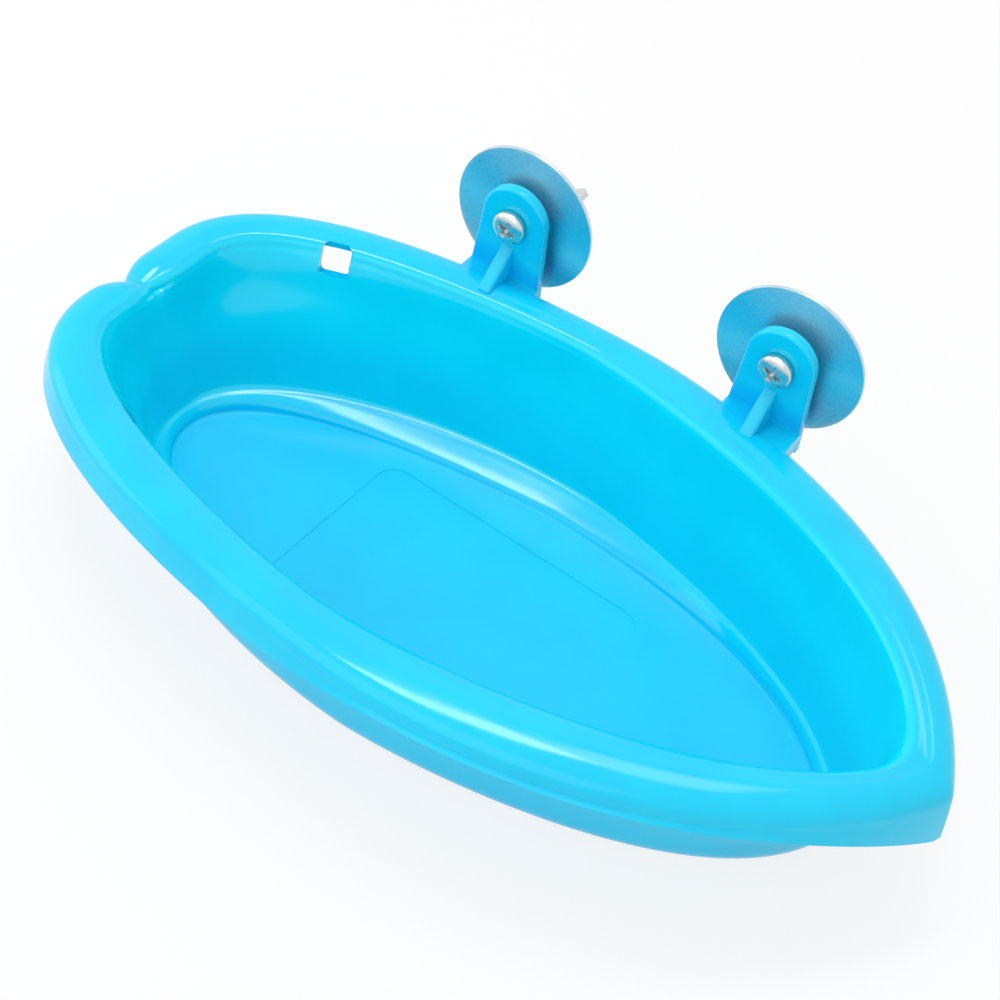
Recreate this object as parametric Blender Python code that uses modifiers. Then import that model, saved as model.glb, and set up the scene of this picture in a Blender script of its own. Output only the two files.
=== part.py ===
# Cage bird bath: a leaf-shaped plastic basin with a rolled rim, hung inside a cage by two clamp tabs.
# Each tab carries a cross-recessed screw, a wide flat washer and a wing nut, which pinch the cage bars.
# Origin: underside of the base, at the middle of the leaf. X along the cage wall, +Y out through the
# wall, +Z up.

import math

import bmesh
import bpy
import numpy as np
from mathutils import Matrix, Vector

for item in list(bpy.data.objects):
    bpy.data.objects.remove(item, do_unlink=True)

MM = 0.001
CLEARANCE = 0.3 * MM

# Leaf: pointed end at +X, lobed end at -X, each measured from the origin.
LEAF_TIP = 107.0 * MM
LEAF_END = 106.0 * MM
LEAF_HALF = 59.6 * MM
RIM_WIDTH = 11.1 * MM
RIM_TIP_WIDTH = 11.0 * MM
RIM_END_WIDTH = 11.4 * MM
WALL_DRAFT = 6.7 * MM
WALL_TIP_DRAFT = 10.5 * MM
WALL_END_DRAFT = 6.8 * MM
BODY_SPREAD = 0.6 * MM
LEDGE_WIDTH = 6.4 * MM
LEDGE_TIP_WIDTH = 3.5 * MM
LEDGE_END_WIDTH = 1.6 * MM
RIM_TIP_ROUND = 0.3 * MM
WALL_TIP_ROUND = 3.0 * MM
LEAF_TURN = math.radians(-2.0)

# Five key outlines, each half drawn as two curves and a straight end. Handles: reach and angle leave
# the point, ahead and behind leave the widest place, rise leaves the lobe.
RIM_EDGE = dict(
    tip=LEAF_TIP, end=LEAF_END, half=LEAF_HALF,
    widest=0.5 * MM, reach=59.6 * MM, angle=math.radians(66.0),
    ahead=15.0 * MM, behind=15.0 * MM, lobe=13.8 * MM, rise=41.9 * MM,
)
INNER_EDGE = dict(
    tip=LEAF_TIP - RIM_TIP_WIDTH, end=LEAF_END - RIM_END_WIDTH, half=LEAF_HALF - RIM_WIDTH,
    widest=-12.4 * MM, reach=46.5 * MM, angle=math.radians(62.5),
    ahead=15.0 * MM, behind=8.5 * MM, lobe=14.6 * MM, rise=26.2 * MM,
)
WALL_FOOT = dict(
    tip=INNER_EDGE["tip"] - WALL_TIP_DRAFT, end=INNER_EDGE["end"] - WALL_END_DRAFT,
    half=INNER_EDGE["half"] - WALL_DRAFT,
    widest=-1.4 * MM, reach=30.4 * MM, angle=math.radians(77.7),
    ahead=12.9 * MM, behind=53.3 * MM, lobe=0.5 * MM, rise=17.6 * MM,
)
BODY_FOOT = dict(
    tip=WALL_FOOT["tip"], end=WALL_FOOT["end"], half=WALL_FOOT["half"] + BODY_SPREAD,
    widest=-9.0 * MM, reach=33.5 * MM, angle=math.radians(72.0),
    ahead=16.0 * MM, behind=42.0 * MM, lobe=8.4 * MM, rise=16.2 * MM,
)
FLOOR_EDGE = dict(
    tip=WALL_FOOT["tip"] - LEDGE_TIP_WIDTH, end=WALL_FOOT["end"] - LEDGE_END_WIDTH,
    half=WALL_FOOT["half"] - LEDGE_WIDTH,
    widest=-6.2 * MM, reach=36.0 * MM, angle=math.radians(72.2),
    ahead=23.3 * MM, behind=4.4 * MM, lobe=0.5 * MM, rise=26.7 * MM,
)

# Dip between the two lobes, fall of the rim at the point, and fall of the skirt towards the lobes.
NOTCH_Y = -4.5 * MM
NOTCH_SLANT = 2.6 * MM
NOTCH_DEPTH = 2.5 * MM
NOTCH_SPREAD = 1.7 * MM
NOTCH_DIP = 3.5 * MM
NOTCH_HALF = 9.0 * MM
TIP_DROOP = 4.5 * MM
TIP_DROOP_POWER = 8
SKIRT_FALL = 3.3 * MM
SKIRT_FALL_START = 20.0 * MM
SKIRT_FALL_RUN = 45.0 * MM

# Section of the basin.
WALL = 2.0 * MM
RIM_TOP = 42.3 * MM
RIM_ROLL = 3.2 * MM
RIM_CROWN_SHARE = 0.53
INNER_EDGE_DROP = 0.5 * MM
INNER_FILLET = 2.4 * MM
SKIRT_DEPTH = 6.0 * MM
SKIRT_WALL = 1.8 * MM
SKIRT_FLARE = 0.8 * MM
COVE_TOP = 8.0 * MM
LEDGE_Z = 3.6 * MM
LEDGE_FALL = 0.6 * MM
FLOOR_STEP = 0.6 * MM
FLOOR_Z = 2.0 * MM
BASE_ROUND = 6.0 * MM
PANEL_FROM_TIP = 80.0 * MM
PANEL_FROM_END = 61.5 * MM
PANEL_HALF = 23.5 * MM
PANEL_DEPTH = 0.4 * MM
PANEL_CORNER = 5.0 * MM

# Wall from cove to edge: share of the height, lean, then shares of the notch and of the droop.
WALL_CURVE = ((0.0, 0.95, 0.0, 0.0), (0.4, 0.63, 0.0, 0.15), (0.75, 0.28, 0.05, 0.6))
WALL_TOP_LEAN = 0.03
WALL_TOP_NOTCH = 0.5
# Cove from the wall to the ledge: how far each line leans on from the foot towards the floor's edge.
COVE_LEAN = (1.12, 1.45)
BASE_LEAN = 0.97
# Rolled edge of the rim: shares of the roll inward and down.
ROLL_CURVE = ((1.0, 0.12), (0.45, 0.45), (0.13, 0.95))
ROLL_FOOT = 1.6
# Shares of the notch and of the droop along the inner edge and along the skirt's lower edge.
EDGE_DROOP = (1.2, 1.15, 1.1)
SKIRT_NOTCH = 0.5
SKIRT_DROOP = 2.9

# Overflow windows cut through the wall and the inner edge near the lobed end.
WINDOW_FROM_END = 32.5 * MM
WINDOW_LENGTH = 7.0 * MM
WINDOW_HEIGHT = 6.8 * MM
WINDOW_REACH = 2.6 * MM
WINDOW_BACK = 1.2 * MM
WINDOW_CORNER = 1.2 * MM

# Clamp tabs on the back of the rim.
SCREW_X = (-40.1 * MM, 28.8 * MM)
SCREW_RISE = 13.9 * MM
TAB_INSET = 2.6 * MM
TAB_THICK = 3.0 * MM
TAB_WIDTH = 16.4 * MM
TAB_FLARE = 1.2 * MM
TAB_ARC_RISE = 1.1 * MM
TAB_EDGE = 0.7 * MM
TAB_FOOT_REACH = 7.0 * MM
TAB_FOOT_DROP = 1.4 * MM
GUSSET_THICK = 3.2 * MM
GUSSET_RISE = 7.9 * MM
GUSSET_REACH = 5.2 * MM
GUSSET_SINK = 1.6 * MM

# Screw.
SHANK_R = 1.95 * MM
SCREW_LENGTH = 16.0 * MM
SCREW_POINT = 0.5 * MM
HEAD_R = 4.0 * MM
HEAD_HEIGHT = 2.6 * MM
HEAD_SIDE = 1.1 * MM
HEAD_EDGE = 0.3 * MM
RECESS_LENGTH = 4.4 * MM
RECESS_WIDTH = 0.9 * MM
RECESS_DEPTH = 1.5 * MM
RECESS_TURN = math.radians(20.0)

# Washer.
WASHER_R = 17.7 * MM
WASHER_THICK = 1.2 * MM
WASHER_HOLE_R = 3.4 * MM
WASHER_EDGE = 0.15 * MM
CLAMP_GAP = (2.1 * MM, 2.6 * MM)

# Wing nut.
HUB_R = 4.0 * MM
HUB_TOP_R = 3.4 * MM
HUB_HEIGHT = 4.6 * MM
WING_SPAN = 21.0 * MM
WING_HEIGHT = 10.5 * MM
WING_THICK = 1.8 * MM
WING_ROOT_Z = 1.0 * MM
WING_INNER = 5.4 * MM
WING_EDGE = 0.35 * MM
WING_TURN = (math.radians(-28.0), math.radians(30.0))

# Facets.
TIP_STEPS = 18
LOBE_STEPS = 14
END_STEPS = 7
ROUND_STEPS = 32
WASHER_STEPS = 64
FILLET_STEPS = 3
BASE_STEPS = 4
ARC_STEPS = 16
DOME_STEPS = 4
MERGE = 0.001 * MM
BEVEL_ANGLE = math.radians(40.0)
SMOOTH_ANGLE = math.radians(35.0)

# Derived fits.
SKIRT_BOTTOM = RIM_TOP - SKIRT_DEPTH
PANEL_X = (PANEL_FROM_END - LEAF_END, LEAF_TIP - PANEL_FROM_TIP)
WINDOW_X = WINDOW_FROM_END - LEAF_END
SCREW_Z = RIM_TOP + SCREW_RISE
TAB_FRONT = LEAF_HALF - TAB_INSET
TAB_BACK = TAB_FRONT + TAB_THICK
TAB_ARC_Z = SCREW_Z + TAB_ARC_RISE
TAB_FOOT_TOP = RIM_TOP - TAB_FOOT_DROP
GUSSET_TOP = RIM_TOP + GUSSET_RISE
TAB_HOLE_R = SHANK_R + CLEARANCE
NUT_BORE_R = SHANK_R + CLEARANCE
WASHER_FRONT = tuple(TAB_BACK + gap for gap in CLAMP_GAP)
WASHER_HANG = WASHER_HOLE_R - SHANK_R - CLEARANCE
NUT_FRONT = tuple(front + WASHER_THICK + CLEARANCE for front in WASHER_FRONT)
THROUGH = 2.0 * MM
QUARTER = math.pi / 2
UP = Vector((0.0, 0.0, 1.0))

part_group = bpy.data.collections.new("cage_bird_bath")
cutter_group = bpy.data.collections.new("cutters")
bpy.context.scene.collection.children.link(part_group)
bpy.context.scene.collection.children.link(cutter_group)


def material(name, colour, metallic, roughness):
    made = bpy.data.materials.new(name)
    made.use_nodes = True
    shader = made.node_tree.nodes["Principled BSDF"]
    shader.inputs["Base Color"].default_value = (*colour, 1.0)
    shader.inputs["Metallic"].default_value = metallic
    shader.inputs["Roughness"].default_value = roughness
    return made


def new_object(name, bm, paint=None):
    # a painted object is a piece of the part, one without paint is a cutter or a tool
    mesh = bpy.data.meshes.new(name)
    bm.to_mesh(mesh)
    bm.free()
    made = bpy.data.objects.new(name, mesh)
    if paint is None:
        cutter_group.objects.link(made)
        made.hide_render = True
        made.display_type = "WIRE"
    else:
        part_group.objects.link(made)
        mesh.materials.append(paint)
    return made


def smooth_by_angle():
    # node group that shades faces smooth across every edge flatter than the smooth angle
    group = bpy.data.node_groups.new("smooth by angle", "GeometryNodeTree")
    group.interface.new_socket("Geometry", in_out="INPUT", socket_type="NodeSocketGeometry")
    group.interface.new_socket("Geometry", in_out="OUTPUT", socket_type="NodeSocketGeometry")
    start = group.nodes.new("NodeGroupInput")
    angle = group.nodes.new("GeometryNodeInputMeshEdgeAngle")
    flatter = group.nodes.new("FunctionNodeCompare")
    flatter.operation = "LESS_THAN"
    flatter.inputs["B"].default_value = SMOOTH_ANGLE
    faces = group.nodes.new("GeometryNodeSetShadeSmooth")
    edges = group.nodes.new("GeometryNodeSetShadeSmooth")
    edges.domain = "EDGE"
    end = group.nodes.new("NodeGroupOutput")
    group.links.new(start.outputs[0], faces.inputs["Geometry"])
    group.links.new(faces.outputs[0], edges.inputs["Geometry"])
    group.links.new(angle.outputs["Unsigned Angle"], flatter.inputs["A"])
    group.links.new(flatter.outputs[0], edges.inputs["Shade Smooth"])
    group.links.new(edges.outputs[0], end.inputs[0])
    return group


def boolean(target, tool, operation):
    step = target.modifiers.new(tool.name, "BOOLEAN")
    step.operation = operation
    step.solver = "EXACT"
    step.object = tool


def bevel(target, width, segments):
    step = target.modifiers.new("rounded edges", "BEVEL")
    step.width = width
    step.segments = segments
    step.limit_method = "ANGLE"
    step.angle_limit = BEVEL_ANGLE


def prism(name, shape, start, end):
    # a flat shape of 3-D points swept from start to end
    bm = bmesh.new()
    low = [bm.verts.new(Vector(p) + Vector(start)) for p in shape]
    face = bm.faces.new(low)
    grown = bmesh.ops.extrude_face_region(bm, geom=[face])
    top = [g for g in grown["geom"] if isinstance(g, bmesh.types.BMVert)]
    bmesh.ops.translate(bm, verts=top, vec=Vector(end) - Vector(start))
    bmesh.ops.recalc_face_normals(bm, faces=bm.faces)
    return new_object(name, bm)


def lay_along_y(made, place, turn):
    # stands the object at its place, its own Z axis along +Y, turned about that axis
    made.location = place
    made.rotation_euler = (-QUARTER, turn, 0.0)


def turned(name, profile, place, turn=0.0, paint=None, steps=ROUND_STEPS):
    # a half profile of (radius, height) swept round, its height axis laid along +Y
    bm = bmesh.new()
    points = [bm.verts.new((r, 0.0, z)) for r, z in profile]
    for first, second in zip(points, points[1:]):
        bm.edges.new((first, second))
    made = new_object(name, bm, paint)
    sweep = made.modifiers.new("sweep", "SCREW")
    sweep.axis = "Z"
    sweep.steps = steps
    sweep.render_steps = steps
    sweep.use_merge_vertices = True
    sweep.merge_threshold = MERGE
    lay_along_y(made, place, turn)
    return made


def bezier(corners, count):
    s = np.linspace(0.0, 1.0, count, endpoint=False)[:, None]
    p = np.array(corners)
    return (1 - s) ** 3 * p[0] + 3 * s * (1 - s) ** 2 * p[1] + 3 * s * s * (1 - s) * p[2] + s ** 3 * p[3]


def outline(share, lean, extra, foot):
    # closed outline between the key ones: share 0 rim edge, 1 inner edge; lean 1 the foot, 2 the floor edge
    k = {}
    for name, edge in INNER_EDGE.items():
        k[name] = (1 - share) * RIM_EDGE[name] + share * edge
        k[name] += min(lean, 1.0) * (foot[name] - edge)
        k[name] += max(lean - 1.0, 0.0) * (FLOOR_EDGE[name] - foot[name])
    tip = k["tip"] - extra
    end = k["end"] - extra
    half = k["half"] - extra
    widest = k["widest"]
    shoulder = (tip - k["reach"] * math.cos(k["angle"]), k["reach"] * math.sin(k["angle"]))
    brow = (-end, k["lobe"] + k["rise"])
    first = [(tip, 0.0), shoulder, (widest + k["ahead"], half), (widest, half)]
    second = [(widest, half), (widest - k["behind"], half), brow, (-end, k["lobe"])]
    third = [(-end, y) for y in np.linspace(k["lobe"], 0.0, END_STEPS + 1)]
    upper = np.vstack([bezier(first, TIP_STEPS), bezier(second, LOBE_STEPS), third])
    rounding = RIM_TIP_ROUND + (WALL_TIP_ROUND - RIM_TIP_ROUND) * share * max(1 - lean, 0.0)
    front = upper[:, 0] > widest
    upper[front, 0] = tip - np.sqrt((tip - upper[front, 0]) ** 2 + rounding ** 2)
    lower = upper[-2:0:-1] * (1.0, -1.0)
    return np.vstack([upper, lower])


def ring(inset, lean, height, notch=0.0, droop=0.0, fall=0.0, foot=WALL_FOOT):
    # one closed line of the basin, inset from the rim's edge and leaned in with the wall
    share = min(inset / RIM_WIDTH, 1.0)
    x, y = outline(share, lean, max(inset - RIM_WIDTH, 0.0), foot).T
    middle = NOTCH_Y + NOTCH_SLANT * share
    bell = np.clip(1.0 - np.abs(y - middle) / NOTCH_HALF, 0.0, 1.0) ** 2 * (x < 0.0)
    x = x + notch * bell * (NOTCH_DEPTH * (1 - share) - NOTCH_SPREAD * share)
    z = height - NOTCH_DIP * notch * bell
    z = z - TIP_DROOP * droop * np.clip(x / LEAF_TIP, 0.0, 1.0) ** TIP_DROOP_POWER
    slope = np.clip((SKIRT_FALL_START - x) / SKIRT_FALL_RUN, 0.0, 1.0)
    z = z - SKIRT_FALL * fall * np.sin(QUARTER * slope) ** 2
    c = math.cos(LEAF_TURN)
    s = math.sin(LEAF_TURN)
    return np.column_stack([c * x - s * y, s * x + c * y, z])


def basin_section():
    # (inset, lean, height, notch, droop, fall, foot) from the floor up, over the rim and down outside
    inner = RIM_WIDTH
    outer = inner - WALL
    edge_z = RIM_TOP - INNER_EDGE_DROP
    wall_top = edge_z - INNER_FILLET
    under = RIM_TOP - WALL
    crown = RIM_CROWN_SHARE * RIM_WIDTH
    rows = [
        (inner + FLOOR_STEP, 2.0, FLOOR_Z),
        (inner, 2.0, LEDGE_Z - LEDGE_FALL),
        (inner, COVE_LEAN[1], LEDGE_Z),
        (inner, COVE_LEAN[0], (LEDGE_Z + COVE_TOP) / 2),
    ]
    for part, lean, notch, droop in WALL_CURVE:
        rows.append((inner, lean, COVE_TOP + part * (wall_top - COVE_TOP), notch, droop))
    rows.append((inner, WALL_TOP_LEAN, wall_top, WALL_TOP_NOTCH, EDGE_DROOP[0]))
    for step, droop in enumerate(EDGE_DROOP, 1):
        turn = QUARTER * step / FILLET_STEPS
        inset = inner - INNER_FILLET * (1 - math.cos(turn))
        rows.append((inset, 0.0, wall_top + INNER_FILLET * math.sin(turn), 1.0, droop))
    rows.append((crown, 0.0, RIM_TOP, 1.0, 1.0))
    for inward, down in ROLL_CURVE:
        rows.append((inward * RIM_ROLL, 0.0, RIM_TOP - down * RIM_ROLL, 1.0, 1.0))
    rows += [
        (0.0, 0.0, RIM_TOP - ROLL_FOOT * RIM_ROLL, 1.0, EDGE_DROOP[0]),
        (-SKIRT_FLARE, 0.0, SKIRT_BOTTOM, SKIRT_NOTCH, SKIRT_DROOP, 1.0),
        (SKIRT_WALL - SKIRT_FLARE, 0.0, SKIRT_BOTTOM, SKIRT_NOTCH, SKIRT_DROOP, 1.0),
        (SKIRT_WALL, 0.0, under - RIM_ROLL, 1.0, EDGE_DROOP[0]),
        (SKIRT_WALL + RIM_ROLL / 3, 0.0, under - RIM_ROLL / 3, 1.0, 1.0),
        (crown, 0.0, under, 1.0, 1.0),
        (outer - INNER_FILLET / 2, 0.0, under - INNER_FILLET / 3, 1.0, EDGE_DROOP[2]),
        (outer, WALL_TOP_LEAN, under - INNER_FILLET, 1.0, EDGE_DROOP[1]),
    ]
    for part, lean, notch, droop in reversed(WALL_CURVE):
        height = COVE_TOP + part * (wall_top - COVE_TOP)
        rows.append((outer, lean, height, notch, droop, 0.0, BODY_FOOT))
    for step in range(1, BASE_STEPS + 1):
        turn = QUARTER * step / BASE_STEPS
        inset = outer + BASE_ROUND * (1 - math.cos(turn))
        height = BASE_ROUND * (1 - math.sin(turn))
        rows.append((inset, BASE_LEAN, height, 0.0, 0.0, 0.0, BODY_FOOT))
    return rows


def lofted_basin(paint):
    # level lines joined into one closed skin, capped at the floor and at the base
    bm = bmesh.new()
    rows = [[bm.verts.new(p) for p in ring(*level)] for level in basin_section()]
    count = len(rows[0])
    for low, high in zip(rows, rows[1:]):
        for i in range(count):
            j = (i + 1) % count
            bm.faces.new((low[i], high[i], high[j], low[j]))
    bm.faces.new(rows[0])
    bm.faces.new(list(reversed(rows[-1])))
    bmesh.ops.recalc_face_normals(bm, faces=bm.faces)
    return new_object("basin", bm, paint)


def tab_plate(name, x):
    # upright plate with a round top, seen along Y
    r = TAB_WIDTH / 2
    angles = [math.pi * k / ARC_STEPS for k in range(ARC_STEPS + 1)]
    shape = [(x + r * math.cos(a), 0.0, TAB_ARC_Z + r * math.sin(a)) for a in angles]
    foot = r + TAB_FLARE
    shape += [(x - foot, 0.0, SKIRT_BOTTOM), (x + foot, 0.0, SKIRT_BOTTOM)]
    plate = prism(name, shape, (0, TAB_FRONT, 0), (0, TAB_BACK, 0))
    bevel(plate, TAB_EDGE, 2)
    return plate


def tab_foot(name, x):
    # block that carries the plate forward into the channel under the rim
    r = TAB_WIDTH / 2 - TAB_EDGE
    low = SKIRT_BOTTOM + TAB_EDGE
    y = TAB_FRONT - TAB_FOOT_REACH
    shape = [(x - r, y, low), (x + r, y, low), (x + r, y, TAB_FOOT_TOP), (x - r, y, TAB_FOOT_TOP)]
    return prism(name, shape, (0, 0, 0), (0, TAB_FOOT_REACH + TAB_THICK / 2, 0))


def gusset(name, x):
    # sloping rib from the plate's face down to the rim's top
    inside = TAB_FRONT + TAB_THICK / 2
    front = TAB_FRONT - GUSSET_REACH
    low = RIM_TOP - GUSSET_SINK
    side = [(inside, low), (front, low), (front, RIM_TOP), (TAB_FRONT, GUSSET_TOP), (inside, GUSSET_TOP)]
    half = GUSSET_THICK / 2
    return prism(name, [(x, y, z) for y, z in side], (-half, 0, 0), (half, 0, 0))


def rounded_box(name, low, high, corner, segments):
    # a box whose upright edges are rounded
    bm = bmesh.new()
    bmesh.ops.create_cube(bm, size=1.0)
    low = Vector(low)
    high = Vector(high)
    bmesh.ops.scale(bm, vec=high - low, verts=bm.verts)
    bmesh.ops.translate(bm, vec=(low + high) / 2, verts=bm.verts)
    made = new_object(name, bm)
    weights = made.data.attributes.new("bevel_weight_edge", "FLOAT", "EDGE")
    for edge in made.data.edges:
        a, b = (made.data.vertices[i].co for i in edge.vertices)
        weights.data[edge.index].value = 1.0 if abs(a.z - b.z) > (high.z - low.z) / 2 else 0.0
    step = made.modifiers.new("corners", "BEVEL")
    step.width = corner
    step.segments = segments
    step.limit_method = "WEIGHT"
    return made


def window_cutter(name, side):
    # box through the wall, square to it and open at the rim's top, its corners seen along the cut
    level = ring(RIM_WIDTH - WALL / 2, WALL_TOP_LEAN, RIM_TOP - WINDOW_HEIGHT / 2)
    half = len(level) // 2
    run = level[:half] if side > 0 else level[half + 1:][::-1]
    ends = [WINDOW_X + WINDOW_LENGTH / 2, WINDOW_X - WINDOW_LENGTH / 2]
    a, b = (Vector([np.interp(-x, -run[:, 0], run[:, i]) for i in range(3)]) for x in ends)
    along = (b - a).normalized() * side
    outward = along.cross(UP)
    low = (-WINDOW_LENGTH / 2, -WINDOW_HEIGHT / 2, -WINDOW_REACH)
    high = (WINDOW_LENGTH / 2, WINDOW_HEIGHT / 2, WINDOW_BACK)
    made = rounded_box(name, low, high, WINDOW_CORNER, 3)
    turn = Matrix((along, UP, outward)).transposed()
    made.matrix_world = Matrix.Translation((a + b) / 2) @ turn.to_4x4()
    return made


def build_basin():
    paint = material("polypropylene", (0.0, 0.62, 0.9), 0.0, 0.25)
    basin = lofted_basin(paint)
    for number, x in enumerate(SCREW_X, 1):
        boolean(basin, tab_foot(f"tab_foot_{number}", x), "UNION")
        boolean(basin, tab_plate(f"tab_plate_{number}", x), "UNION")
        boolean(basin, gusset(f"gusset_{number}", x), "UNION")
    reach = TAB_THICK + 2 * THROUGH
    profile = [(0.0, reach), (TAB_HOLE_R, reach), (TAB_HOLE_R, 0.0), (0.0, 0.0)]
    for number, x in enumerate(SCREW_X, 1):
        place = (x, TAB_FRONT - THROUGH, SCREW_Z)
        boolean(basin, turned(f"screw_hole_{number}", profile, place), "DIFFERENCE")
    for number, side in enumerate((1, -1), 1):
        boolean(basin, window_cutter(f"window_{number}", side), "DIFFERENCE")
    low = (PANEL_X[0], -PANEL_HALF, FLOOR_Z - PANEL_DEPTH)
    high = (PANEL_X[1], PANEL_HALF, FLOOR_Z + THROUGH)
    panel = rounded_box("floor_panel", low, high, PANEL_CORNER, 4)
    panel.rotation_euler = (0.0, 0.0, LEAF_TURN)
    boolean(basin, panel, "DIFFERENCE")


def build_screw(number, x, paint):
    # pan head in front of the tab, shank through it, blunt point at the back
    seat = -CLEARANCE
    tip = seat + SCREW_LENGTH
    side = seat - HEAD_SIDE
    dome = HEAD_HEIGHT - HEAD_SIDE
    profile = [
        (0.0, tip),
        (SHANK_R - SCREW_POINT, tip),
        (SHANK_R, tip - SCREW_POINT),
        (SHANK_R, seat),
        (HEAD_R - HEAD_EDGE, seat),
        (HEAD_R, seat - HEAD_EDGE),
    ]
    for step in range(DOME_STEPS + 1):
        turn = QUARTER * step / DOME_STEPS
        profile.append((HEAD_R * math.cos(turn), side - dome * math.sin(turn)))
    place = Vector((x, TAB_FRONT, SCREW_Z))
    screw = turned(f"screw_{number}", profile, place, 0.0, paint)
    crown = side - dome
    foot = crown + RECESS_DEPTH
    mouth = crown - THROUGH
    half = RECESS_LENGTH / 2
    flank = RECESS_WIDTH / 2
    right = [(half / 2, foot), (half, crown), (half, mouth)]
    left = [(-r, z) for r, z in reversed(right)]
    shape = [(r, 0.0, z) for r, z in right + left]
    for arm, turn in (("a", RECESS_TURN), ("b", RECESS_TURN + QUARTER)):
        slot = prism(f"recess_{number}_{arm}", shape, (0, -flank, 0), (0, flank, 0))
        lay_along_y(slot, place, turn)
        boolean(screw, slot, "DIFFERENCE")


def build_washer(number, x, front, paint):
    # wide flat ring hung on the top of the shank
    profile = [
        (WASHER_HOLE_R, WASHER_THICK),
        (WASHER_R - WASHER_EDGE, WASHER_THICK),
        (WASHER_R, WASHER_THICK - WASHER_EDGE),
        (WASHER_R, WASHER_EDGE),
        (WASHER_R - WASHER_EDGE, 0.0),
        (WASHER_HOLE_R, 0.0),
        (WASHER_HOLE_R, WASHER_THICK),
    ]
    place = (x, front, SCREW_Z - WASHER_HANG)
    turned(f"washer_{number}", profile, place, 0.0, paint, WASHER_STEPS)


def wing_outline(side):
    # one wing seen square on, as shares of the half span and of the height
    tip = WING_SPAN / 2
    root = 0.75 * HUB_R
    points = [
        (root, WING_ROOT_Z),
        (0.62 * tip, WING_ROOT_Z + 0.12 * WING_HEIGHT),
        (0.88 * tip, 0.42 * WING_HEIGHT),
        (tip, 0.7 * WING_HEIGHT),
        (0.99 * tip, 0.9 * WING_HEIGHT),
        (0.9 * tip, WING_HEIGHT),
        (0.72 * tip, 0.98 * WING_HEIGHT),
        (WING_INNER, 0.8 * WING_HEIGHT),
        (0.9 * HUB_R, HUB_HEIGHT),
        (root, 0.9 * HUB_HEIGHT),
    ]
    return [(side * px, 0.0, pz) for px, pz in points]


def build_wing_nut(number, x, front, turn, paint):
    # tapered hub with two upright wings
    place = Vector((x, front, SCREW_Z))
    profile = [(0.0, HUB_HEIGHT), (HUB_TOP_R, HUB_HEIGHT), (HUB_R, 0.0), (0.0, 0.0)]
    nut = turned(f"wing_nut_{number}", profile, place, turn, paint)
    half = WING_THICK / 2
    for label, side in (("left", -1), ("right", 1)):
        wing = prism(f"wing_{label}_{number}", wing_outline(side), (0, -half, 0), (0, half, 0))
        bevel(wing, WING_EDGE, 1)
        lay_along_y(wing, place, turn)
        boolean(nut, wing, "UNION")
    reach = WING_HEIGHT + 2 * THROUGH
    bore = [(0.0, reach), (NUT_BORE_R, reach), (NUT_BORE_R, 0.0), (0.0, 0.0)]
    low = place - Vector((0, THROUGH, 0))
    boolean(nut, turned(f"thread_{number}", bore, low, turn), "DIFFERENCE")


build_basin()
zinc = material("zinc plated steel", (0.62, 0.63, 0.64), 1.0, 0.3)
steel = material("brushed steel", (0.6, 0.62, 0.63), 1.0, 0.35)
for k, x in enumerate(SCREW_X):
    build_screw(k + 1, x, zinc)
    build_washer(k + 1, x, WASHER_FRONT[k], steel)
    build_wing_nut(k + 1, x, NUT_FRONT[k], WING_TURN[k], zinc)
smooth = smooth_by_angle()
for piece in part_group.objects:
    piece.modifiers.new("smooth by angle", "NODES").node_group = smooth
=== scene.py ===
# Looks of a cage bird bath: a glossy cyan leaf-shaped basin with a rolled rim, hung by two clamps.
# Sizes are in millimetres, scaled to metres where a mesh is made; lamps and camera are in metres.

import math

import bmesh
import bpy
import numpy as np
from mathutils import Matrix


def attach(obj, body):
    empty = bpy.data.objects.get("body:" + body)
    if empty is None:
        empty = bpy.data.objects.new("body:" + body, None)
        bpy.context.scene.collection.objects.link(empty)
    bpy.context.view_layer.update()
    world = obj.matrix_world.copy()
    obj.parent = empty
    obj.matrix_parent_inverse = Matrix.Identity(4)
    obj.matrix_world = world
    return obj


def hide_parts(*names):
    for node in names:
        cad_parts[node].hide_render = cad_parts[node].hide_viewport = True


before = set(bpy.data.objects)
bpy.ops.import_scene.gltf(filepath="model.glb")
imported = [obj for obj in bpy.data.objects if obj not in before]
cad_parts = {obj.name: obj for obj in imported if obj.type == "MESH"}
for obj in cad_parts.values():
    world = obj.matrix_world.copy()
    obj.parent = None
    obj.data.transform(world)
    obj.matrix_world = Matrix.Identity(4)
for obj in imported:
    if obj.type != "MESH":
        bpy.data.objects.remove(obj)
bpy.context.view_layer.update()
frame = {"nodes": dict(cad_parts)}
scene = bpy.context.scene
mm = 0.001
quarter = math.pi / 2
print("frame loaded:", ", ".join(frame["nodes"]))


def linear(hexColour):
    # sRGB hex to linear light
    srgb = np.array([int(hexColour[i:i + 2], 16) for i in (1, 3, 5)]) / 255.0
    light = np.where(srgb <= 0.04045, srgb / 12.92, ((srgb + 0.055) / 1.055) ** 2.4)
    return (*light.tolist(), 1.0)


def addNode(tree, kind, settings=None, links=None, **attributes):
    # one shader node: its options, its socket values, and its links as {socket: (node, output)}
    node = tree.nodes.new(kind)
    for name, value in attributes.items():
        setattr(node, name, value)
    for name, value in (settings or {}).items():
        node.inputs[name].default_value = value
    for name, (source, output) in (links or {}).items():
        tree.links.new(source.outputs[output], node.inputs[name])
    return node


def newMaterial(name):
    made = bpy.data.materials.new(name)
    made.use_nodes = True
    made.node_tree.nodes.clear()
    return made, made.node_tree


def newObject(name, mesh, paint=None):
    made = bpy.data.objects.new(name, mesh)
    scene.collection.objects.link(made)
    if paint:
        mesh.materials.append(paint)
    return made


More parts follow.
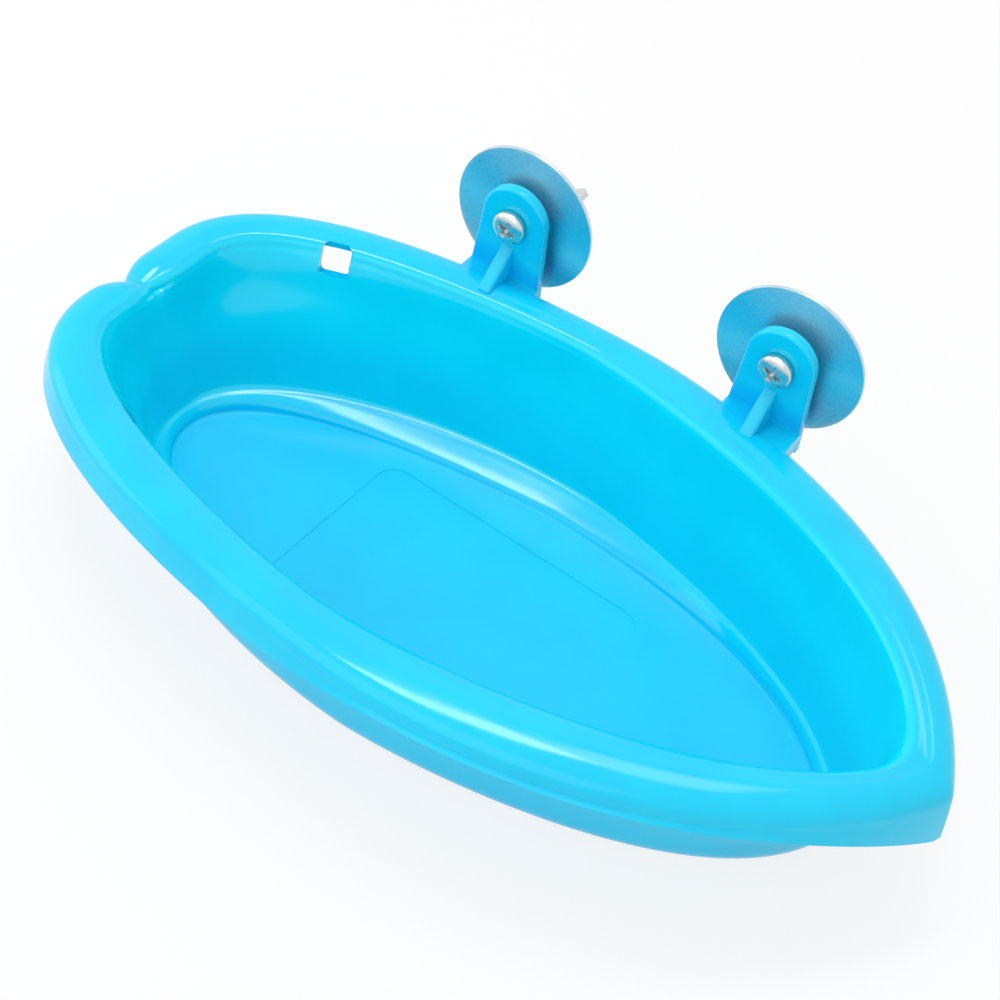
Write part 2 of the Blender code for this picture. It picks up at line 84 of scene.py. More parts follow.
def gridMesh(name, points, closed=False, uv=None):
    # points[column, row, xyz] in mm; columns run round and meet; rows meet too where closed,
    # otherwise the first and last rows are capped; rows shrunk to a point become a pole
    columns, rows = points.shape[:2]
    index = np.arange(columns * rows).reshape(columns, rows)
    beside = np.roll(index, -1, axis=0)
    if closed:
        above, across = np.roll(index, -1, axis=1), np.roll(beside, -1, axis=1)
        quads = np.stack([index, beside, across, above], axis=-1)
    else:
        quads = np.stack([index[:, :-1], beside[:, :-1], beside[:, 1:], index[:, 1:]], axis=-1)
    faces = quads.reshape(-1, 4).tolist()
    if not closed:
        faces += [index[::-1, 0].tolist(), index[:, -1].tolist()]
    mesh = bpy.data.meshes.new(name)
    mesh.from_pydata((points.reshape(-1, 3) * mm).tolist(), [], faces)
    if uv is not None:
        layer = mesh.uv_layers.new(name="turn and radius")
        turn = np.arange(columns)[:, None, None] + np.array([0, 1, 1, 0])
        share = uv[np.arange(rows)[:, None] + np.array([0, 0, 1, 1]) - rows]  # the last row wraps
        pair = np.stack(np.broadcast_arrays(turn / columns, share[None]), axis=-1)
        layer.data.foreach_set("uv", pair.reshape(-1).astype(np.float32))
    return mesh


def prismMesh(name, outline, axes, start, end):
    # a flat closed outline (n, 2) swept along the third of its axes, from start to end, and capped
    flat = outline @ axes[:2]
    points = np.stack([flat + start * axes[2], flat + end * axes[2]], axis=1)
    return gridMesh(name, points)


def clean(made, sharp=32.0, merge=0.0002):
    # closes seams and poles, turns faces outward, and shades smooth up to the sharp angle
    shape = bmesh.new()
    shape.from_mesh(made.data)
    bmesh.ops.remove_doubles(shape, verts=shape.verts, dist=merge * mm)
    bmesh.ops.recalc_face_normals(shape, faces=shape.faces)
    shape.to_mesh(made.data)
    shape.free()
    made.data.shade_smooth()
    made.data.set_sharp_from_angle(angle=math.radians(sharp))


def bevelled(made, width, segments=3, angle=30.0):
    step = made.modifiers.new("soft edges", "BEVEL")
    step.width = width * mm
    step.segments = segments
    step.limit_method = "ANGLE"
    step.angle_limit = math.radians(angle)
    return made


def combine(target, tools, operation):
    # joins or cuts with a group of tools at once and keeps the result as the target's own mesh
    group = bpy.data.collections.new(operation.lower())
    scene.collection.children.link(group)
    for tool in tools:
        clean(tool)
        scene.collection.objects.unlink(tool)
        group.objects.link(tool)
    step = target.modifiers.new(operation.lower(), "BOOLEAN")
    step.operation = operation
    step.solver = "EXACT"
    step.operand_type = "COLLECTION"
    step.collection = group
    depsgraph = bpy.context.evaluated_depsgraph_get()
    mesh = bpy.data.meshes.new_from_object(target.evaluated_get(depsgraph))
    target.modifiers.clear()
    target.data = mesh
    for tool in tools:
        bpy.data.objects.remove(tool, do_unlink=True)
    bpy.data.collections.remove(group)


def dress(made, body, node):
    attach(made, body)
    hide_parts(node)


# Moulded polypropylene: a clear saturated cyan with a wet gloss. The eye reads it by the soft-edged
# lamp reflections on each curve, which waver where the moulding shrank, and by a faint cloudiness.
# Light that passes through thin walls isn't worked out: a greener tint on the inner walls is
# painted light that stands in for it, and a deeper blue at the foot of each tab is painted shade
# for the corner where the plate rises from the rim.
plastic = dict(
    cloud=22.0, sink=9.0, grain=0.35, sinkDepth=0.06, grainDepth=0.01,
    tabFace=(56.0, 57.0), rimLine=(41.5, 42.3), paintedShadeFade=(43.0, 51.0), floorLine=(2.1, 3.6))


def makePolypropylene():
    paint, tree = newMaterial("moulded polypropylene")
    place = addNode(tree, "ShaderNodeTexCoord")
    where = addNode(tree, "ShaderNodeSeparateXYZ", links={"Vector": (place, "Object")})
    paintedLightMask = addNode(tree, "ShaderNodeAttribute", attribute_name="inside")
    cloud = addNode(
        tree, "ShaderNodeTexNoise",
        {"Scale": 1 / (plastic["cloud"] * mm), "Detail": 3.0, "Roughness": 0.55},
        {"Vector": (place, "Object")})
    made = {}
    # The first map is painted light on the inner walls, read from the inside attribute; near and
    # above mark the foot of each tab, fall fades it upwards, and root is painted shade there.
    for name, source, (low, high), start, end in (
            ("paintedThroughLight", (paintedLightMask, "Fac"), (0.0, 1.0), 0.5, 0.0),
            ("mottle", (cloud, "Fac"), (0.3, 0.7), 0.0, 0.12),
            ("near", (where, "Y"), plastic["tabFace"], 0.0, 1.0),
            ("above", (where, "Z"), plastic["rimLine"], 0.0, 1.0),
            ("fall", (where, "Z"), plastic["paintedShadeFade"], 0.22, 0.0),
            ("gloss", (cloud, "Fac"), (0.3, 0.7), 0.1, 0.16),
            ("matt", (where, "Z"), plastic["floorLine"], 0.34, 0.0)):
        unit = mm if source[0] is where else 1.0
        made[name] = addNode(
            tree, "ShaderNodeMapRange",
            {"From Min": low * unit, "From Max": high * unit, "To Min": start, "To Max": end},
            {"Value": source}, interpolation_type="SMOOTHSTEP")
    for name, operation, first, second in (
            ("plate", "MULTIPLY", "near", "above"), ("root", "MULTIPLY", "plate", "fall"),
            ("mottleAndPaintedLight", "ADD", "paintedThroughLight", "mottle"), ("shade", "ADD", "mottleAndPaintedLight", "root"),
            ("worn", "ADD", "gloss", "matt")):
        made[name] = addNode(
            tree, "ShaderNodeMath", links={0: (made[first], 0), 1: (made[second], 0)},
            operation=operation)
    # The ramp runs from the greener painted light of the inner walls, through the plastic's own
    # cyan with its random mottle, to the deeper blue painted shade at the foot of each tab.
    tint = addNode(tree, "ShaderNodeValToRGB", links={"Fac": (made["shade"], 0)})
    ramp = tint.color_ramp
    ramp.elements[0].color = linear("#02DAF4")
    ramp.elements[1].color = linear("#089AF0")
    for position, colour in ((0.12, "#08DFF8"), (0.5, "#06CBF3"), (0.62, "#0AD2F8")):
        ramp.elements.new(position).color = linear(colour)
    grain = addNode(
        tree, "ShaderNodeTexNoise", {"Scale": 1 / (plastic["grain"] * mm), "Detail": 2.0},
        {"Vector": (place, "Object")})
    sink = addNode(
        tree, "ShaderNodeTexNoise", {"Scale": 1 / (plastic["sink"] * mm), "Detail": 1.0},
        {"Vector": (place, "Object")})
    waver = addNode(
        tree, "ShaderNodeBump", {"Strength": 0.25, "Distance": plastic["sinkDepth"] * mm},
        {"Height": (sink, "Fac")})
    skin = addNode(
        tree, "ShaderNodeBump", {"Strength": 0.1, "Distance": plastic["grainDepth"] * mm},
        {"Height": (grain, "Fac"), "Normal": (waver, "Normal")})
    shader = addNode(
        tree, "ShaderNodeBsdfPrincipled", {"IOR": 1.49, "Specular IOR Level": 0.38},
        {"Base Color": (tint, "Color"), "Roughness": (made["worn"], 0), "Normal": (skin, "Normal")})
    addNode(tree, "ShaderNodeOutputMaterial", links={"Surface": (shader, "BSDF")})
    return paint


# Zinc-plated steel: a bright grey metal whose plating has a fine crystal speckle, so highlights
# break up into small light and dark grains, with a faint blue and straw tint from the passivated
# skin.
plating = dict(speckle=0.45, cloud=2.4, dent=0.03)


def makeZinc():
    paint, tree = newMaterial("zinc-plated steel")
    place = addNode(tree, "ShaderNodeTexCoord")
    speckle = addNode(
        tree, "ShaderNodeTexVoronoi", {"Scale": 1 / (plating["speckle"] * mm)},
        {"Vector": (place, "Object")})
    cloud = addNode(
        tree, "ShaderNodeTexNoise", {"Scale": 1 / (plating["cloud"] * mm), "Detail": 4.0},
        {"Vector": (place, "Object")})
    tint = addNode(tree, "ShaderNodeValToRGB", links={"Fac": (cloud, "Fac")})
    tint.color_ramp.elements[0].position = 0.32
    tint.color_ramp.elements[0].color = linear("#CFD2D6")
    tint.color_ramp.elements[1].position = 0.68
    tint.color_ramp.elements[1].color = linear("#E0DED6")
    gloss = addNode(
        tree, "ShaderNodeMapRange", {"To Min": 0.18, "To Max": 0.36}, {"Value": (speckle, "Color")})
    dents = addNode(
        tree, "ShaderNodeBump", {"Strength": 0.35, "Distance": plating["dent"] * mm},
        {"Height": (speckle, "Color")})
    shader = addNode(
        tree, "ShaderNodeBsdfPrincipled", {"Metallic": 1.0},
        {"Base Color": (tint, "Color"), "Roughness": (gloss, "Result"),
         "Normal": (dents, "Normal")})
    addNode(tree, "ShaderNodeOutputMaterial", links={"Surface": (shader, "BSDF")})
    return paint


# Circular-brushed steel: a cool grey metal whose fine rings round the hole spread each reflection
# across them, so that it takes the colour of what stands near without showing its outline. Arcs are
# counted round the disc and rings along its radius, where they are 0.09 mm apart.
brushing = dict(arcs=40.0, rings=190.0, groove=0.015)


def makeBrushed():
    paint, tree = newMaterial("circular-brushed steel")
    place = addNode(tree, "ShaderNodeUVMap", uv_map="turn and radius")
    spread = addNode(
        tree, "ShaderNodeMapping", {"Scale": (brushing["arcs"], brushing["rings"], 1.0)},
        {"Vector": (place, "UV")})
    rings = addNode(
        tree, "ShaderNodeTexNoise", {"Scale": 1.0, "Detail": 3.0, "Roughness": 0.6},
        {"Vector": (spread, "Vector")})
    tint = addNode(tree, "ShaderNodeValToRGB", links={"Fac": (rings, "Fac")})
    tint.color_ramp.elements[0].position = 0.3
    tint.color_ramp.elements[0].color = linear("#BFD4DC")
    tint.color_ramp.elements[1].position = 0.7
    tint.color_ramp.elements[1].color = linear("#D6E6EC")
    gloss = addNode(
        tree, "ShaderNodeMapRange",
        {"From Min": 0.3, "From Max": 0.7, "To Min": 0.24, "To Max": 0.36},
        {"Value": (rings, "Fac")})
    grooves = addNode(
        tree, "ShaderNodeBump", {"Strength": 0.07, "Distance": brushing["groove"] * mm},
        {"Height": (rings, "Fac")})
    alongRing = addNode(
        tree, "ShaderNodeTangent", direction_type="UV_MAP", uv_map="turn and radius")
    shader = addNode(
        tree, "ShaderNodeBsdfPrincipled",
        {"Metallic": 1.0, "Anisotropic": 0.8, "Anisotropic Rotation": 0.25},
        {"Base Color": (tint, "Color"), "Roughness": (gloss, "Result"),
         "Normal": (grooves, "Normal"), "Tangent": (alongRing, "Tangent")})
    addNode(tree, "ShaderNodeOutputMaterial", links={"Surface": (shader, "BSDF")})
    return paint


polypropylene = makePolypropylene()
zinc = makeZinc()
brushed = makeBrushed()
print("materials made")

# Basin. Five key outlines of the leaf: tip and end are its reach along X, half its half width at
# the place called widest; reach and angle are the curve's handle at the point, ahead and behind
# those at the widest place, lobe and rise the straight end and the handle above it.
keys = ("tip", "end", "half", "widest", "reach", "angle", "ahead", "behind", "lobe", "rise")
rimEdge = dict(zip(keys, (107.0, 106.0, 59.6, 0.5, 59.6, 66.0, 15.0, 15.0, 13.8, 41.9)))
innerEdge = dict(zip(keys, (96.0, 94.6, 48.5, -12.4, 46.5, 62.5, 15.0, 8.5, 14.6, 26.2)))
wallFoot = dict(zip(keys, (85.5, 87.8, 41.8, -1.4, 30.4, 77.7, 12.9, 53.3, 0.5, 17.6)))
bodyFoot = dict(zip(keys, (85.5, 87.8, 42.4, -9.0, 33.5, 72.0, 16.0, 42.0, 8.4, 16.2)))
floorEdge = dict(zip(keys, (82.0, 86.2, 35.4, -6.2, 36.0, 72.2, 23.3, 4.4, 0.5, 26.7)))
basin = dict(
    turn=math.radians(-2.0), tipSteps=84, lobeSteps=66, endSteps=36, fine=0.6, coarse=1.3,
    rimTipRound=0.3, wallTipRound=3.0, mitre=5, leanRun=8,
    notchY=-4.5, notchSlant=2.6, notchDepth=2.5, notchSpread=1.7, notchDip=3.0,
    notchHalf=(9.0, 7.0), notchShare=0.35, topNotch=0.5,
    tipDroop=4.5, droopPower=8, edgeDroop=1.2, droopEase=0.1, underDroop=(1.1, 1.15),
    rimTop=42.3, crown=0.53, edgeDrop=0.5, fillet=2.8, filletSteps=8, frontRim=1.9, frontRun=40.0,
    roll=3.2, rollCurve=((1.0, 0.12), (0.45, 0.45), (0.13, 0.95)), rollFoot=1.6,
    skirtBottom=36.3, skirtWall=1.8, flare=0.8, skirtNotch=0.5, skirtDroop=2.9, skirtFall=3.3,
    fallStart=20.0, fallRun=45.0,
    lip=0.5, lipCurve=((0.0, 1.0), (0.15, 0.4), (0.6, 0.05), (1.0, 0.0)),
    wall=2.0, topLean=0.03, footLean=0.79, coveTop=8.0,
    wallCurve=((0.0, 0.95, 0.0, 0.0), (0.4, 0.63, 0.0, 0.15), (0.75, 0.28, 0.05, 0.6)),
    cove=((1.22, 5.05), (1.05, 5.45), (0.89, 5.83), (0.83, 6.5)),
    ledgeZ=2.4, ledgeFade=0.8, fadeStart=25.0, fadeRun=45.0, step=0.9, floorZ=2.0,
    baseRound=6.0, baseSteps=7, baseLean=0.97,
    panelX=(-44.5, 27.0), panelHalf=23.5, panelDepth=0.2, panelCorner=5.0, panelRise=4.0,
    windowX=-73.5, windowLength=7.0, windowHeight=7.8, windowReach=2.6, windowBack=2.8,
    windowTop=(0.6, 1.3), windowCorner=1.2)
# Painted light on the inner walls: contrast sets how closely it follows the walls' facing, and it
# fades in below the rim and above the floor.
inside = dict(contrast=1.6, rimFade=2.0, floorTop=2.6, floorFade=3.0)
rimWidth = rimEdge["half"] - innerEdge["half"]
tabs = dict(
    screwX=(-40.1, 28.8), screwZ=56.2, front=57.0, back=60.0, width=16.4, flare=1.2, arcRise=1.1,
    edge=0.9, hole=2.25, low=36.3, archSteps=120, sideSteps=60, baseSteps=50, edgeSteps=6,
    footEdge=0.2, footReach=7.0, footTop=41.7, footRound=0.4,
    gussetThick=3.2, gussetTop=50.6, gussetReach=8.5, gussetLow=40.7, gussetRound=0.7)


def bezier(corners, count):
    # cubic curve from the first corner to the last, drawn towards the middle two, its end left out
    s = np.linspace(0.0, 1.0, count, endpoint=False)
    weights = np.stack([(1 - s) ** 3, 3 * s * (1 - s) ** 2, 3 * s * s * (1 - s), s ** 3])
    return np.einsum("ks,k...c->s...c", weights, np.array(corners))


def leafLines(inset, lean, foot):
    # plan of every level at once, (points, levels, xy): inset blends the rim's edge into the inner
    # edge and then offsets it, lean carries it on to the wall's foot at 1 and the floor's edge at 2
    share = np.minimum(inset / rimWidth, 1.0)
    extra = np.maximum(inset - rimWidth, 0.0)
    toFoot, onward = np.minimum(lean, 1.0), np.maximum(lean - 1.0, 0.0)
    k = {n: (1 - share) * rimEdge[n] + share * innerEdge[n] + toFoot * (foot[n] - innerEdge[n])
         + onward * (floorEdge[n] - foot[n]) for n in keys}
    tip, end, half, widest = k["tip"] - extra, k["end"] - extra, k["half"] - extra, k["widest"]
    angle = np.radians(k["angle"])
    pair = lambda x, y: np.stack(np.broadcast_arrays(x, y), axis=-1)
    first = [
        pair(tip, 0.0), pair(tip - k["reach"] * np.cos(angle), k["reach"] * np.sin(angle)),
        pair(widest + k["ahead"], half), pair(widest, half)]
    second = [
        pair(widest, half), pair(widest - k["behind"], half), pair(-end, k["lobe"] + k["rise"]),
        pair(-end, k["lobe"])]
    along = np.linspace(1.0, 0.0, basin["endSteps"] + 1)[:, None]
    third = pair(-end + 0 * along, k["lobe"] * along)
    upper = np.concatenate(
        [bezier(first, basin["tipSteps"]), bezier(second, basin["lobeSteps"]), third])
    soft = share ** basin["mitre"] * np.maximum(1 - lean, 0)
    blunt = basin["rimTipRound"] + (basin["wallTipRound"] - basin["rimTipRound"]) * soft
    x = upper[..., 0]
    upper[..., 0] = np.where(x > widest, tip - np.sqrt((tip - x) ** 2 + blunt ** 2), x)
    return np.concatenate([upper, upper[-2:0:-1] * np.array([1.0, -1.0])])


def leafPoints(levels, foot):
    # levels hold inset, lean, height, and shares of the notch, the tip's droop and the skirt's
    # fall; the notch is a squared bell round one place of the lobed end, the droop a power of X;
    # squared sines widen the rim along the front, sink the ledge towards the tip and lower the
    # skirt towards the lobed end
    inset, lean, height, notch, droop, fall = np.array(levels, dtype=float).T
    x, y = np.moveaxis(leafLines(inset, lean, foot), -1, 0)
    share = np.minimum(inset / rimWidth, 1.0)
    front = np.sin(quarter * np.clip(-y / basin["frontRun"], 0.0, 1.0)) ** 2
    y = y + basin["frontRim"] * front * np.maximum(share, 0.0) * np.maximum(1 - lean, 0.0)
    middle = basin["notchY"] + basin["notchSlant"] * share
    spread = basin["notchHalf"][0] + (basin["notchHalf"][1] - basin["notchHalf"][0]) * share
    bell = np.clip(1 - np.abs(y - middle) / spread, 0.0, 1.0) ** 2 * (x < 0)
    x = x + notch * bell * (basin["notchDepth"] * (1 - share) - basin["notchSpread"] * share)
    z = height - basin["notchDip"] * (1 - (1 - basin["notchShare"]) * share) * notch * bell
    z = z - basin["tipDroop"] * droop * np.clip(x / rimEdge["tip"], 0.0, 1.0) ** basin["droopPower"]
    sink = np.clip((x - basin["fadeStart"]) / basin["fadeRun"], 0.0, 1.0)
    fade = basin["ledgeFade"] * np.clip(lean - 1, 0, 1) * np.sin(quarter * sink) ** 2
    z = z - fade * np.maximum(z - basin["floorZ"], 0.0)
    slope = np.clip((basin["fallStart"] - x) / basin["fallRun"], 0.0, 1.0)
    z = z - basin["skirtFall"] * fall * np.sin(quarter * slope) ** 2
    c, s = math.cos(basin["turn"]), math.sin(basin["turn"])
    return np.stack([c * x - s * y, s * x + c * y, z], axis=-1)


def smoothLine(values, step):
    # a line through the given rows that never overshoots them (monotone cubic), in even steps
    v = np.array(values, dtype=float)
    across = v[:, 0] + basin["leanRun"] * v[:, 1]
    s = np.concatenate([[0.0], np.cumsum(np.hypot(np.diff(across), np.diff(v[:, 2])))])
    gap = np.diff(s)[:, None]
    rise = np.diff(v, axis=0) / gap
    tangent = np.concatenate([rise[:1], np.zeros_like(rise[1:]), rise[-1:]])
    before, after = rise[:-1], rise[1:]
    heavy, light = 2 * gap[1:] + gap[:-1], gap[1:] + 2 * gap[:-1]
    same = before * after > 0
    safe = np.where(same, light * before + heavy * after, 1.0)
    tangent[1:-1] = np.where(same, (heavy + light) * before * after / safe, 0.0)
    q = np.linspace(0.0, s[-1], int(s[-1] / step) + 1)
    i = np.clip(np.searchsorted(s, q, side="right") - 1, 0, len(s) - 2)
    t = ((q - s[i]) / gap[i, 0])[:, None]
    g = gap[i]
    return ((2 * t ** 3 - 3 * t ** 2 + 1) * v[i] + (t ** 3 - 2 * t ** 2 + t) * g * tangent[i]
            + (3 * t ** 2 - 2 * t ** 3) * v[i + 1] + (t ** 3 - t ** 2) * g * tangent[i + 1])


def basinLevels():
    # the section: floor, ledge, cove and wall, round the inner edge, over the rim, down the skirt,
    # then back under the rim and down the outside of the wall to the base
    b = basin
    inner, outer = rimWidth, rimWidth - b["wall"]
    wallTop = b["rimTop"] - b["edgeDrop"] - b["fillet"]
    under = b["rimTop"] - b["wall"]
    crown, roll, lip = b["crown"] * rimWidth, b["roll"], b["lip"]
    rise = wallTop - b["coveTop"]
    top = [
        (inner + b["step"], 2.0, b["floorZ"], 0, 0, 0),
        (inner, 2.0, b["ledgeZ"], 0, 0, 0)]
    top += [(inner, lean, height, 0, 0, 0) for lean, height in b["cove"]]
    top += [(inner, b["footLean"], b["coveTop"], 0, 0, 0)]
    top += [(inner, lean, b["coveTop"] + p * rise, n, d, 0) for p, lean, n, d in b["wallCurve"][1:]]
    top += [(inner, b["topLean"], wallTop, b["topNotch"], b["edgeDroop"], 0)]
    arc = quarter * np.arange(1, b["filletSteps"] + 1) / b["filletSteps"]
    top += [(inner - b["fillet"] * (1 - math.cos(a)), 0, wallTop + b["fillet"] * math.sin(a), 1,
             b["edgeDroop"] - b["droopEase"] * a / quarter, 0) for a in arc]
    top += [(crown, 0, b["rimTop"], 1, 1, 0)]
    top += [(i * roll, 0, b["rimTop"] - d * roll, 1, 1, 0) for i, d in b["rollCurve"]]
    edgeOut, edgeIn, low = -b["flare"], b["skirtWall"] - b["flare"], b["skirtBottom"]
    top += [(0, 0, b["rimTop"] - b["rollFoot"] * roll, 1, b["edgeDroop"], 0)]
    top += [(edgeOut + i * lip, 0, low + h * lip, b["skirtNotch"], b["skirtDroop"], 1)
            for i, h in b["lipCurve"]]
    below = [(edgeIn - i * lip, 0, low + h * lip, b["skirtNotch"], b["skirtDroop"], 1)
             for i, h in (b["lipCurve"][3], b["lipCurve"][1], b["lipCurve"][0])]
    below += [
        (b["skirtWall"], 0, under - roll, 1, b["edgeDroop"], 0),
        (b["skirtWall"] + roll / 3, 0, under - roll / 3, 1, 1, 0),
        (crown, 0, under, 1, 1, 0),
        (outer - b["fillet"] / 2, 0, under - b["fillet"] / 3, 1, b["underDroop"][0], 0),
        (outer, b["topLean"], under - b["fillet"], 1, b["underDroop"][1], 0)]
    below += [(outer, lean, b["coveTop"] + p * rise, n, d, 0)
              for p, lean, n, d in b["wallCurve"][::-1]]
    arc = quarter * np.arange(1, b["baseSteps"] + 1) / b["baseSteps"]
    below += [(outer + b["baseRound"] * (1 - math.cos(a)), b["baseLean"],
               b["baseRound"] * (1 - math.sin(a)), 0, 0, 0) for a in arc]
    return smoothLine(top, b["fine"]), smoothLine(below, b["coarse"])


def roundedBox(low, high, corner, steps=6):
    # rectangle whose corners are quarter circles, in its own plane
    low, high = np.array(low), np.array(high)
    turn = quarter * np.linspace(0.0, 1.0, steps)
    arcs = [np.stack([np.cos(turn + quarter * q), np.sin(turn + quarter * q)], axis=-1)
            for q in range(4)]
    middles = [(high[0], high[1]), (low[0], high[1]), (low[0], low[1]), (high[0], low[1])]
    inward = np.array([(-1, -1), (1, -1), (1, 1), (-1, 1)]) * corner
    return np.concatenate([arc * corner + m + i for arc, m, i in zip(arcs, middles, inward)])


def tabPlate(x, number):
    # upright plate with an arched top, as a ring round the screw hole: each ray from the screw's
    # axis runs from the hole to the outline on the front, round the edge, and back on the rear
    t = tabs
    r, foot = t["width"] / 2, t["width"] / 2 + t["flare"]
    a = np.linspace(0.0, math.pi, t["archSteps"])
    arch = np.stack([r * np.cos(a), t["arcRise"] + r * np.sin(a)], axis=-1)
    depth = t["low"] - t["screwZ"]
    left = np.linspace(arch[-1], (-foot, depth), t["sideSteps"])[1:]
    base = np.linspace((-foot, depth), (foot, depth), t["baseSteps"])[1:]
    right = np.linspace((foot, depth), arch[0], t["sideSteps"])[1:-1]
    edge = np.concatenate([arch, left, base, right])
    out = edge / np.linalg.norm(edge, axis=1)[:, None]
    turn = quarter * np.linspace(0.0, 1.0, t["edgeSteps"])
    e, thick = t["edge"], t["back"] - t["front"]
    flat = np.linspace(0.0, 1.0, t["edgeSteps"])[:-1]
    rows = [out * t["hole"] + f * (edge - out * e - out * t["hole"]) for f in flat]
    rim = [edge - out * e * (1 - math.sin(w)) for w in turn]
    rimBack = [edge - out * e * (1 - math.cos(w)) for w in turn]
    back = rows[::-1]
    plan = np.stack(rows + rim + rimBack + back, axis=1)
    height = np.concatenate([
        np.zeros(len(rows)), e * (1 - np.cos(turn)), thick - e + e * np.sin(turn),
        np.full(len(back), thick)])
    points = np.stack(np.broadcast_arrays(
        x + plan[..., 0], t["front"] + height[None, :], t["screwZ"] + plan[..., 1]), axis=-1)
    return newObject(f"plate{number}", gridMesh(f"plate{number}", points, closed=True))


def tabTools(x, number):
    # foot block under the rim and the sloping rib in front of the plate
    t = tabs
    half = t["width"] / 2 + t["flare"] - t["footEdge"]
    sweep = np.array([(0.0, 1.0, 0.0), (0.0, 0.0, 1.0), (1.0, 0.0, 0.0)])
    middle = (t["front"] + t["back"]) / 2
    low = t["low"] + t["edge"]
    block = roundedBox((t["front"] - t["footReach"], low), (middle, t["footTop"]), t["footRound"])
    foot = newObject(f"foot{number}", prismMesh(f"foot{number}", block, sweep, x - half, x + half))
    near = t["front"] - t["gussetReach"]
    rib = np.array([
        (middle, t["gussetLow"]), (near, t["gussetLow"]), (near, basin["rimTop"]),
        (t["front"], t["gussetTop"]), (middle, t["gussetTop"])])
    thick = t["gussetThick"] / 2
    gusset = newObject(f"rib{number}", prismMesh(f"rib{number}", rib, sweep, x - thick, x + thick))
    return [foot, bevelled(gusset, t["gussetRound"])]


def windowTool(side, number):
    # rounded notch through the wall and the inner edge, square to the wall
    b = basin
    middle = b["rimTop"] - b["windowHeight"] / 2 - b["windowTop"][number - 1] / 2
    level = leafPoints([(rimWidth - b["wall"] / 2, b["topLean"], middle, 0, 0, 0)], wallFoot)[:, 0]
    half = len(level) // 2
    run = level[:half] if side > 0 else level[half + 1:][::-1]
    ends = np.array([b["windowX"] + b["windowLength"] / 2, b["windowX"] - b["windowLength"] / 2])
    first, last = np.stack([np.interp(-ends, -run[:, 0], run[:, i]) for i in range(3)], axis=-1)
    along = (last - first) / np.linalg.norm(last - first) * side
    up = np.array([0.0, 0.0, 1.0])
    size = np.array([b["windowLength"], b["windowHeight"] - b["windowTop"][number - 1]]) / 2
    axes = np.stack([along, up, np.cross(along, up)])
    mesh = prismMesh(
        f"window{number}", roundedBox(-size, size, b["windowCorner"]), axes, -b["windowReach"],
        b["windowBack"])
    tool = newObject(f"window{number}", mesh)
    tool.data.transform(Matrix.Translation(((first + last) / 2 * mm).tolist()))
    return tool


def panelTool():
    # the shallow rounded rectangle that is sunk into the floor
    b = basin
    outline = roundedBox(
        (b["panelX"][0], -b["panelHalf"]), (b["panelX"][1], b["panelHalf"]), b["panelCorner"], 10)
    low, high = b["floorZ"] - b["panelDepth"], b["floorZ"] + b["panelRise"]
    mesh = prismMesh("panel", outline, np.eye(3), low, high)
    mesh.transform(Matrix.Rotation(b["turn"], 4, "Z"))
    return newObject("panel", mesh)


def markInside(mesh):
    # an attribute for the material's painted light: 1 on walls below the rim that face the middle
    # of the bath, 0 elsewhere; facing is the cosine between a normal and the way to the middle
    place, facing = np.empty((2, len(mesh.vertices), 3), dtype=np.float32)
    mesh.vertices.foreach_get("co", place.reshape(-1))
    mesh.vertices.foreach_get("normal", facing.reshape(-1))
    flat = place[:, :2]
    inward = -(flat * facing[:, :2]).sum(axis=1) / np.maximum(np.linalg.norm(flat, axis=1), mm)
    height = place[:, 2] / mm
    belowRim = np.clip((basin["rimTop"] - height) / inside["rimFade"], 0.0, 1.0)
    aboveFloor = np.clip((height - inside["floorTop"]) / inside["floorFade"], 0.0, 1.0)
    share = np.clip(inside["contrast"] * inward, 0.0, 1.0) * (belowRim * aboveFloor)
    layer = mesh.attributes.new("inside", "FLOAT", "POINT")
    layer.data.foreach_set("value", share.astype(np.float32))


def makeBasin():
    top, below = basinLevels()
    points = np.concatenate([leafPoints(top, wallFoot), leafPoints(below, bodyFoot)], axis=1)
    moulding = newObject("bath_moulding", gridMesh("bath_moulding", points))
    clean(moulding)
    tools = []
    for number, x in enumerate(tabs["screwX"], 1):
        tools += [tabPlate(x, number)] + tabTools(x, number)
    combine(moulding, tools, "UNION")
    combine(moulding, [windowTool(1, 1), windowTool(-1, 2), panelTool()], "DIFFERENCE")
    clean(moulding)
    markInside(moulding.data)
    moulding.data.materials.clear()
    moulding.data.materials.append(polypropylene)
    dress(moulding, "basin", "basin")
    return moulding


moulding = makeBasin()
print("basin:", len(moulding.data.polygons), "faces")

# Clamp screw. Heights run along +Y from the front of the tab.
screw = dict(
    shank=1.95, length=16.0, point=0.5, seat=-0.3, columns=80, shankSteps=190, domeSteps=44,
    head=4.0, headHeight=2.6, headSide=1.1, headEdge=0.3, headEdgeShare=0.3,
    pitch=0.7, thread=0.28, flankSlope=1.6, crest=0.3, threadStart=0.8, runOut=0.6, tipShare=0.3,
    recessLength=4.4, recessWidth=0.95, recessDepth=1.6, recessEnd=0.7, recessSide=0.16,
    recessTurn=math.radians(20.0))


